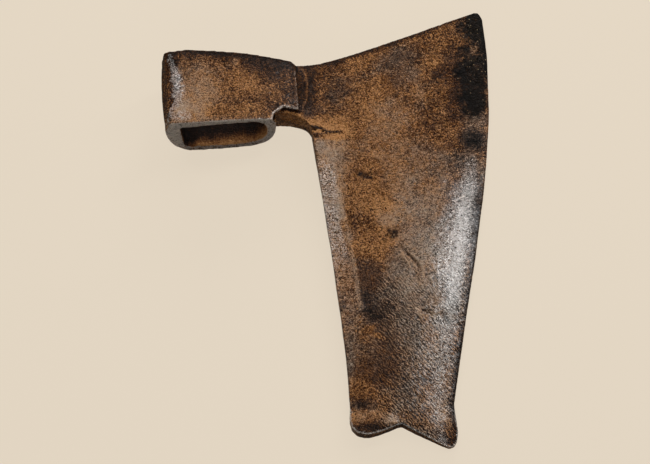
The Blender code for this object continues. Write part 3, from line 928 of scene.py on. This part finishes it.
def feed(tree, node, sources):  # a number or colour is set on its socket, an output is linked to it
    for label, source in sources.items():
        if hasattr(source, "is_output"):
            tree.links.new(source, node.inputs[label])
        else:
            node.inputs[label].default_value = source
    return node


def sums(tree, operation, *values, clamp=False):
    node = addNode(tree, "ShaderNodeMath", operation=operation, use_clamp=clamp)
    return feed(tree, node, dict(enumerate(values))).outputs[0]


def eased(tree, value, low, high, toLow=0.0, toHigh=1.0):
    node = addNode(tree, "ShaderNodeMapRange", interpolation_type="SMOOTHSTEP")
    ends = {"From Min": low, "From Max": high, "To Min": toLow, "To Max": toHigh}
    return feed(tree, node, {"Value": value, **ends}).outputs[0]


def blended(tree, share, first, second):
    node = addNode(tree, "ShaderNodeMix", data_type="RGBA")
    return feed(tree, node, {0: share, 6: first, 7: second}).outputs[2]  # the sockets of a mix of colours


def noiseOf(tree, vector, millimetres, detail, roughness, distortion):
    return feed(tree, addNode(tree, "ShaderNodeTexNoise"), {
        "Vector": vector,
        "Scale": 1.0 / (millimetres * lying["unit"]),
        "Detail": detail,
        "Roughness": roughness,
        "Distortion": distortion,
    }).outputs["Fac"]


# Wandering ridges one beside the other, which swirl more as bend rises
def wavesOf(tree, vector, millimetres, bend, reach):
    scale = math.pi / (10.0 * millimetres * lying["unit"])  # at scale 1 the ridges are pi / 10 apart
    node = addNode(tree, "ShaderNodeTexWave", wave_type="BANDS", bands_direction="Y", wave_profile="SIN")
    return feed(tree, node, {
        "Vector": vector,
        "Scale": scale,
        "Distortion": bend,
        "Detail": 1.0,
        "Detail Scale": 1.0 / (scale * reach * lying["unit"]),
        "Detail Roughness": 0.5,
    }).outputs["Fac"]


def shades(tree, value, stops):  # a colour for each value from 0 to 1
    node = feed(tree, addNode(tree, "ShaderNodeValToRGB"), {"Fac": value})
    knots = node.color_ramp.elements
    for n, colour in enumerate(stops):
        share = n / (len(stops) - 1)
        knot = knots[n] if n < 2 else knots.new(share)
        knot.position = share
        knot.color = (*colour, 1)
    return node.outputs["Color"]


def dotsOf(tree, vector, millimetres, share, reach):  # scattered round dots, fewer as share rises
    node = addNode(tree, "ShaderNodeTexVoronoi")
    feed(tree, node, {"Vector": vector, "Scale": 1.0 / (millimetres * lying["unit"])})
    dot = eased(tree, node.outputs["Distance"], reach * 0.4, reach, 1.0, 0.0)
    chance = sums(tree, "GREATER_THAN", node.outputs["Color"], share)
    return sums(tree, "MULTIPLY", dot, chance)


def reading(tree, name):
    return addNode(tree, "ShaderNodeAttribute", attribute_name=name).outputs["Fac"]


def swung(tree, value, *swings):  # a value pushed up and down by noises, each with how far it pushes
    for noise, amount in swings:
        off = sums(tree, "SUBTRACT", noise, 0.5)
        value = sums(tree, "MULTIPLY_ADD", off, amount, value)
    return value


ironColours = {
    # from the darkest tone to the palest
    "iron": (
        (0.006, 0.005, 0.005), (0.026, 0.018, 0.014), (0.090, 0.064, 0.047),
        (0.200, 0.146, 0.108), (0.42, 0.33, 0.25),
    ),
    "rust": (
        (0.006, 0.003, 0.002), (0.036, 0.013, 0.005), (0.130, 0.050, 0.016),
        (0.295, 0.119, 0.037), (0.54, 0.26, 0.095),
    ),
    "char": (0.004, 0.004, 0.004, 1),
    "crumb": (0.420, 0.310, 0.180, 1),
    "bare": (0.500, 0.480, 0.455, 1),
}
ironSkin = {
    # size in mm, detail, roughness and distortion
    "clouds": (12.0, 5.0, 0.62, 0.6),
    "blotches": (4.5, 4.0, 0.62, 0.6),
    "flecks": (1.25, 1.0, 0.5, 1.4),
    "grain": (0.60, 0.0, 0.5, 1.2),
    "drifts": (9.0, 6.0, 0.66, 0.6),
    "rustFlecks": (2.4, 3.0, 0.6, 0.6),
    "curls": (3.4, 1.5, 0.5, 0.8),
    # spacing of the ridges in mm, how far they bend and how long a bend is
    "leather": (1.85, 8.0, 3.2),
    "swirls": (5.5, 15.0, 4.4),
    # spacing of the dots in mm, how rare they are and their reach
    "pits": (1.7, 0.62, 0.36),
    "paintedGlintsAndRustSpecks": (2.7, 0.58, 0.32),
    "crumbs": (1.5, 0.76, 0.30),
    "aside": (0.31, 0.17, 0.05),  # metres between the two places where the noises are read
    "leatherRuns": 50.0,  # degrees that the wrinkles are turned by
    "coatRoughness": 0.25,
    "specular": 0.05,
    "bumpDistance": 0.0026,
}


def makeRustedIron():
    material, tree, shader = freshMaterial("rustedIron")
    spots = addNode(tree, "ShaderNodeTexCoord").outputs["Object"]

    def plus(*values):
        return sums(tree, "ADD", *values)

    def times(*values, clamp=False):
        return sums(tree, "MULTIPLY", *values, clamp=clamp)

    def timesPlus(*values):  # the first two multiplied, plus the third
        return sums(tree, "MULTIPLY_ADD", *values)

    def lessHalf(value):
        return sums(tree, "SUBTRACT", value, 0.5)

    def mapped(how, value):
        return feed(tree, addNode(tree, "ShaderNodeMapping"), {"Vector": spots, how: value}).outputs[0]

    aside = mapped("Location", ironSkin["aside"])
    leather = mapped("Rotation", (0.0, 0.0, math.radians(ironSkin["leatherRuns"])))
    clouds = noiseOf(tree, spots, *ironSkin["clouds"])
    blotches = noiseOf(tree, aside, *ironSkin["blotches"])
    flecks = noiseOf(tree, spots, *ironSkin["flecks"])
    grain = noiseOf(tree, aside, *ironSkin["grain"])
    drifts = noiseOf(tree, aside, *ironSkin["drifts"])
    rustFlecks = noiseOf(tree, aside, *ironSkin["rustFlecks"])
    curls = noiseOf(tree, spots, *ironSkin["curls"])
    sharpFlecks = eased(tree, flecks, 0.42, 0.58)
    sharpGrain = eased(tree, grain, 0.44, 0.56)
    tone, rust, speck, char, bare, satin, dull, hollowShadeAndRidgeLight, wrinkle = (
        reading(tree, name)
        for name in ("tone", "rust", "speck", "char", "bare", "satin", "dull", "hollowShadeAndRidgeLight", "wrinkle")
    )
    rust, speck = times(rust, 2.0), times(speck, 2.0)
    smooth = sums(tree, "SUBTRACT", 1.0, wrinkle)
    # long leathery ridges in the wrinkles, and wandering ones elsewhere
    leather = times(wavesOf(tree, leather, *ironSkin["leather"]), wrinkle)
    swirls = times(wavesOf(tree, aside, *ironSkin["swirls"]), smooth)
    ridges = plus(leather, swirls)
    # fine creases wander over the skin; they and the pits are darkened by dirt and painted shade
    creases = eased(tree, sums(tree, "ABSOLUTE", lessHalf(curls)), 0.0, 0.03, 1.0, 0.0)
    pits = dotsOf(tree, spots, *ironSkin["pits"])
    # painted glints: pale dots standing in for tiny highlights, brighter rust specks on rusty skin
    paintedGlintsAndRustSpecks = times(dotsOf(tree, aside, *ironSkin["paintedGlintsAndRustSpecks"]), smooth)
    # how rusty, and how pale: specks stand out more on rust than on the smooth skin
    rusty = swung(tree, rust, (drifts, 1.2), (rustFlecks, 0.7), (flecks, 0.3))
    rusty = timesPlus(paintedGlintsAndRustSpecks, times(rust, 0.8, clamp=True), rusty)
    # painted light and shade: paler along the ridges and darker between them, strongest in the wrinkles
    ridgeShading = times(lessHalf(eased(tree, ridges, 0.15, 0.85)), eased(tree, flecks, 0.3, 0.6, 0.35, 1.2))
    swing = swung(tree, 0.0, (clouds, 0.8), (blotches, 0.48), (sharpFlecks, 0.27), (sharpGrain, 0.66))
    swing = timesPlus(ridgeShading, timesPlus(wrinkle, 0.40, 0.32), swing)
    tone = timesPlus(swing, speck, tone)
    # painted shade in the hollows and painted highlight on the ridges
    tone = timesPlus(sums(tree, "SUBTRACT", 0.5, hollowShadeAndRidgeLight), 0.7, tone)
    # dirt and painted shade in the creases and the pits
    tone = timesPlus(creases, -0.10, tone)
    tone = timesPlus(pits, -0.32, tone)
    # the painted glints pale the skin in dots
    tone = timesPlus(times(paintedGlintsAndRustSpecks, speck), 0.3, tone)
    colour = blended(
        tree, times(rusty, 1.0, clamp=True),
        shades(tree, tone, ironColours["iron"]),
        shades(tree, tone, ironColours["rust"]),
    )
    # black scale with a ragged border and crumbs of rust on it
    ragged = swung(tree, char, (drifts, 2.0), (rustFlecks, 1.5), (sharpGrain, 0.3))
    scaled = times(eased(tree, ragged, 0.25, 0.85), 0.97)
    scaled = times(scaled, eased(tree, char, 0.02, 0.3))
    crumbs = times(dotsOf(tree, spots, *ironSkin["crumbs"]), 0.8)
    scaled = times(scaled, sums(tree, "SUBTRACT", 1.0, crumbs))
    colour = blended(tree, scaled, colour, ironColours["char"])
    crumbs = times(crumbs, eased(tree, char, 0.2, 0.6))
    colour = blended(tree, crumbs, colour, ironColours["crumb"])
    # rubbed metal
    rubbed = swung(tree, bare, (sharpFlecks, 0.5), (sharpGrain, 0.75), (ridges, 0.4), (blotches, 0.4))
    rubbed = times(rubbed, 1.0, clamp=True)
    rubbed = times(rubbed, eased(tree, bare, 0.02, 0.2))
    rubbed = times(rubbed, timesPlus(pits, -0.9, 1.0))
    colour = blended(tree, times(rubbed, 0.75), colour, ironColours["bare"])
    shiny = timesPlus(dull, -0.6, 0.6)
    metal = sums(tree, "MAXIMUM", times(rubbed, shiny), scaled)
    rough = eased(tree, blotches, 0.3, 0.7, 0.22, 0.34)
    rough = timesPlus(dull, 0.5, timesPlus(rubbed, 0.08, rough))
    # the waxed sheen lies on the ridges and misses the creases and pits
    sheen = plus(timesPlus(ridges, 1.0, sharpFlecks), sharpGrain)
    sheen = timesPlus(sheen, 0.5, 0.1)
    sheen = times(sheen, timesPlus(pits, -0.9, 1.0))
    sheen = times(sheen, timesPlus(creases, -0.6, 1.0))
    # grit
    heights = plus(times(flecks, 0.8), times(grain, 0.6))
    heights = timesPlus(ridges, timesPlus(wrinkle, 0.20, 0.20), heights)
    heights = timesPlus(creases, -0.12, heights)
    heights = timesPlus(pits, -0.15, heights)
    heights = times(heights, eased(tree, bare, 0.2, 0.9, 1.0, 1.05))
    grit = addNode(tree, "ShaderNodeBump")
    feed(tree, grit, {"Strength": 1.0, "Distance": ironSkin["bumpDistance"], "Height": heights})
    feed(tree, shader, {
        "Base Color": colour,
        "Metallic": metal,
        "Roughness": rough,
        "Normal": grit.outputs["Normal"],
        "Coat Weight": times(sheen, satin, clamp=True),
        "Coat Roughness": ironSkin["coatRoughness"],
        "Specular IOR Level": ironSkin["specular"],
    })
    shader.location = (240 * (len(tree.nodes) // 8 + 1), 0)
    tree.nodes["Material Output"].location = (shader.location.x + 300, 0)
    return material


head.data.materials.clear()
head.data.materials.append(makeRustedIron())
say("material made")

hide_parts("axe_head")
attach(head, "root")

# Camera, lamps and table

studio = {
    "aim": (65.406, -68.406, 0.0),  # the point in the middle of the view, in the head's axes
    "lookDown": 24.0,  # degrees of the camera below square-on
    "away": 1.2,
    "lens": 105.0,
    "film": 36.0,
    "clips": (0.05, 20.0),
    "tableSize": 8.0,
    "paper": (0.760, 0.665, 0.539),
    "paperGlow": 0.93,  # how much of the table's brightness doesn't depend on the lamps
    "room": 0.05,
}
# Name, tilt towards the cutting edge and rise towards the toe in degrees,
# distance, width and height in metres, brightness
softboxes = (
    ("rightBox", 27, 26, 1.2, (0.14, 0.8), 21.0),
    ("leftBox", -34, 26, 1.2, (0.12, 0.8), 12.0),
    ("topBox", 0, 70, 1.3, (1.0, 0.5), 14.8),
    ("frontBox", 0, -56, 1.4, (1.0, 0.6), 3.5),
)


def wayFrom(tilt, rise):
    tilt, rise = math.radians(tilt), math.radians(rise)
    level = math.cos(tilt)
    return headTurn @ Vector((math.sin(tilt), level * math.sin(rise), level * math.cos(rise)))


def makeCamera():
    down = math.radians(studio["lookDown"])
    back = headTurn @ Vector((0, -math.sin(down), math.cos(down)))
    up = headTurn @ Vector((0, math.cos(down), math.sin(down)))
    camera = bpy.data.objects.new("camera", bpy.data.cameras.new("camera"))
    bpy.context.scene.collection.objects.link(camera)
    camera.data.lens = studio["lens"]
    camera.data.sensor_width = studio["film"]
    camera.data.clip_start, camera.data.clip_end = studio["clips"]
    turn = Matrix((up.cross(back), up, back)).transposed().to_4x4()
    camera.matrix_world = Matrix.Translation(fromHead(studio["aim"]) + back * studio["away"]) @ turn
    bpy.context.scene.camera = camera


def makeSoftbox(name, tilt, rise, away, size, brightness):
    way = wayFrom(tilt, rise)
    lamp = bpy.data.objects.new(name, bpy.data.lights.new(name, "AREA"))
    bpy.context.scene.collection.objects.link(lamp)
    lamp.data.shape = "RECTANGLE"
    lamp.data.size, lamp.data.size_y = size
    lamp.data.energy = brightness * math.pi * size[0] * size[1]
    lamp.location = fromHead(studio["aim"]) + way * away
    lamp.rotation_euler = (-way).to_track_quat("-Z", "Y").to_euler()


def makeTable():
    bpy.ops.object.select_all(action="DESELECT")
    bpy.ops.mesh.primitive_plane_add(size=studio["tableSize"], location=(0, 0, 0))
    table = bpy.context.active_object
    table.name = "table"
    material, tree, shader = freshMaterial("palePaper")
    paper = (*studio["paper"], 1)
    feed(tree, shader, {"Base Color": paper, "Roughness": 0.95, "Specular IOR Level": 0.0})
    seen = addNode(tree, "ShaderNodeLightPath").outputs["Is Camera Ray"]
    glow = feed(tree, addNode(tree, "ShaderNodeEmission"), {"Color": paper})
    share = sums(tree, "MULTIPLY", seen, studio["paperGlow"])
    mixed = addNode(tree, "ShaderNodeMixShader")
    feed(tree, mixed, {0: share, 1: shader.outputs[0], 2: glow.outputs[0]})
    feed(tree, tree.nodes["Material Output"], {"Surface": mixed.outputs[0]})
    table.data.materials.append(material)


def makeRoom():
    world = bpy.data.worlds.new("room")
    bpy.context.scene.world = world
    world.use_nodes = True
    tree = world.node_tree
    seen = addNode(tree, "ShaderNodeLightPath").outputs["Is Camera Ray"]
    grey = (studio["room"],) * 3 + (1,)
    behind = blended(tree, seen, grey, (*studio["paper"], 1))
    feed(tree, tree.nodes["Background"], {"Color": behind})


makeCamera()
for softbox in softboxes:
    makeSoftbox(*softbox)
makeTable()
makeRoom()
bpy.context.scene.view_settings.view_transform = "Standard"
say("stage set")
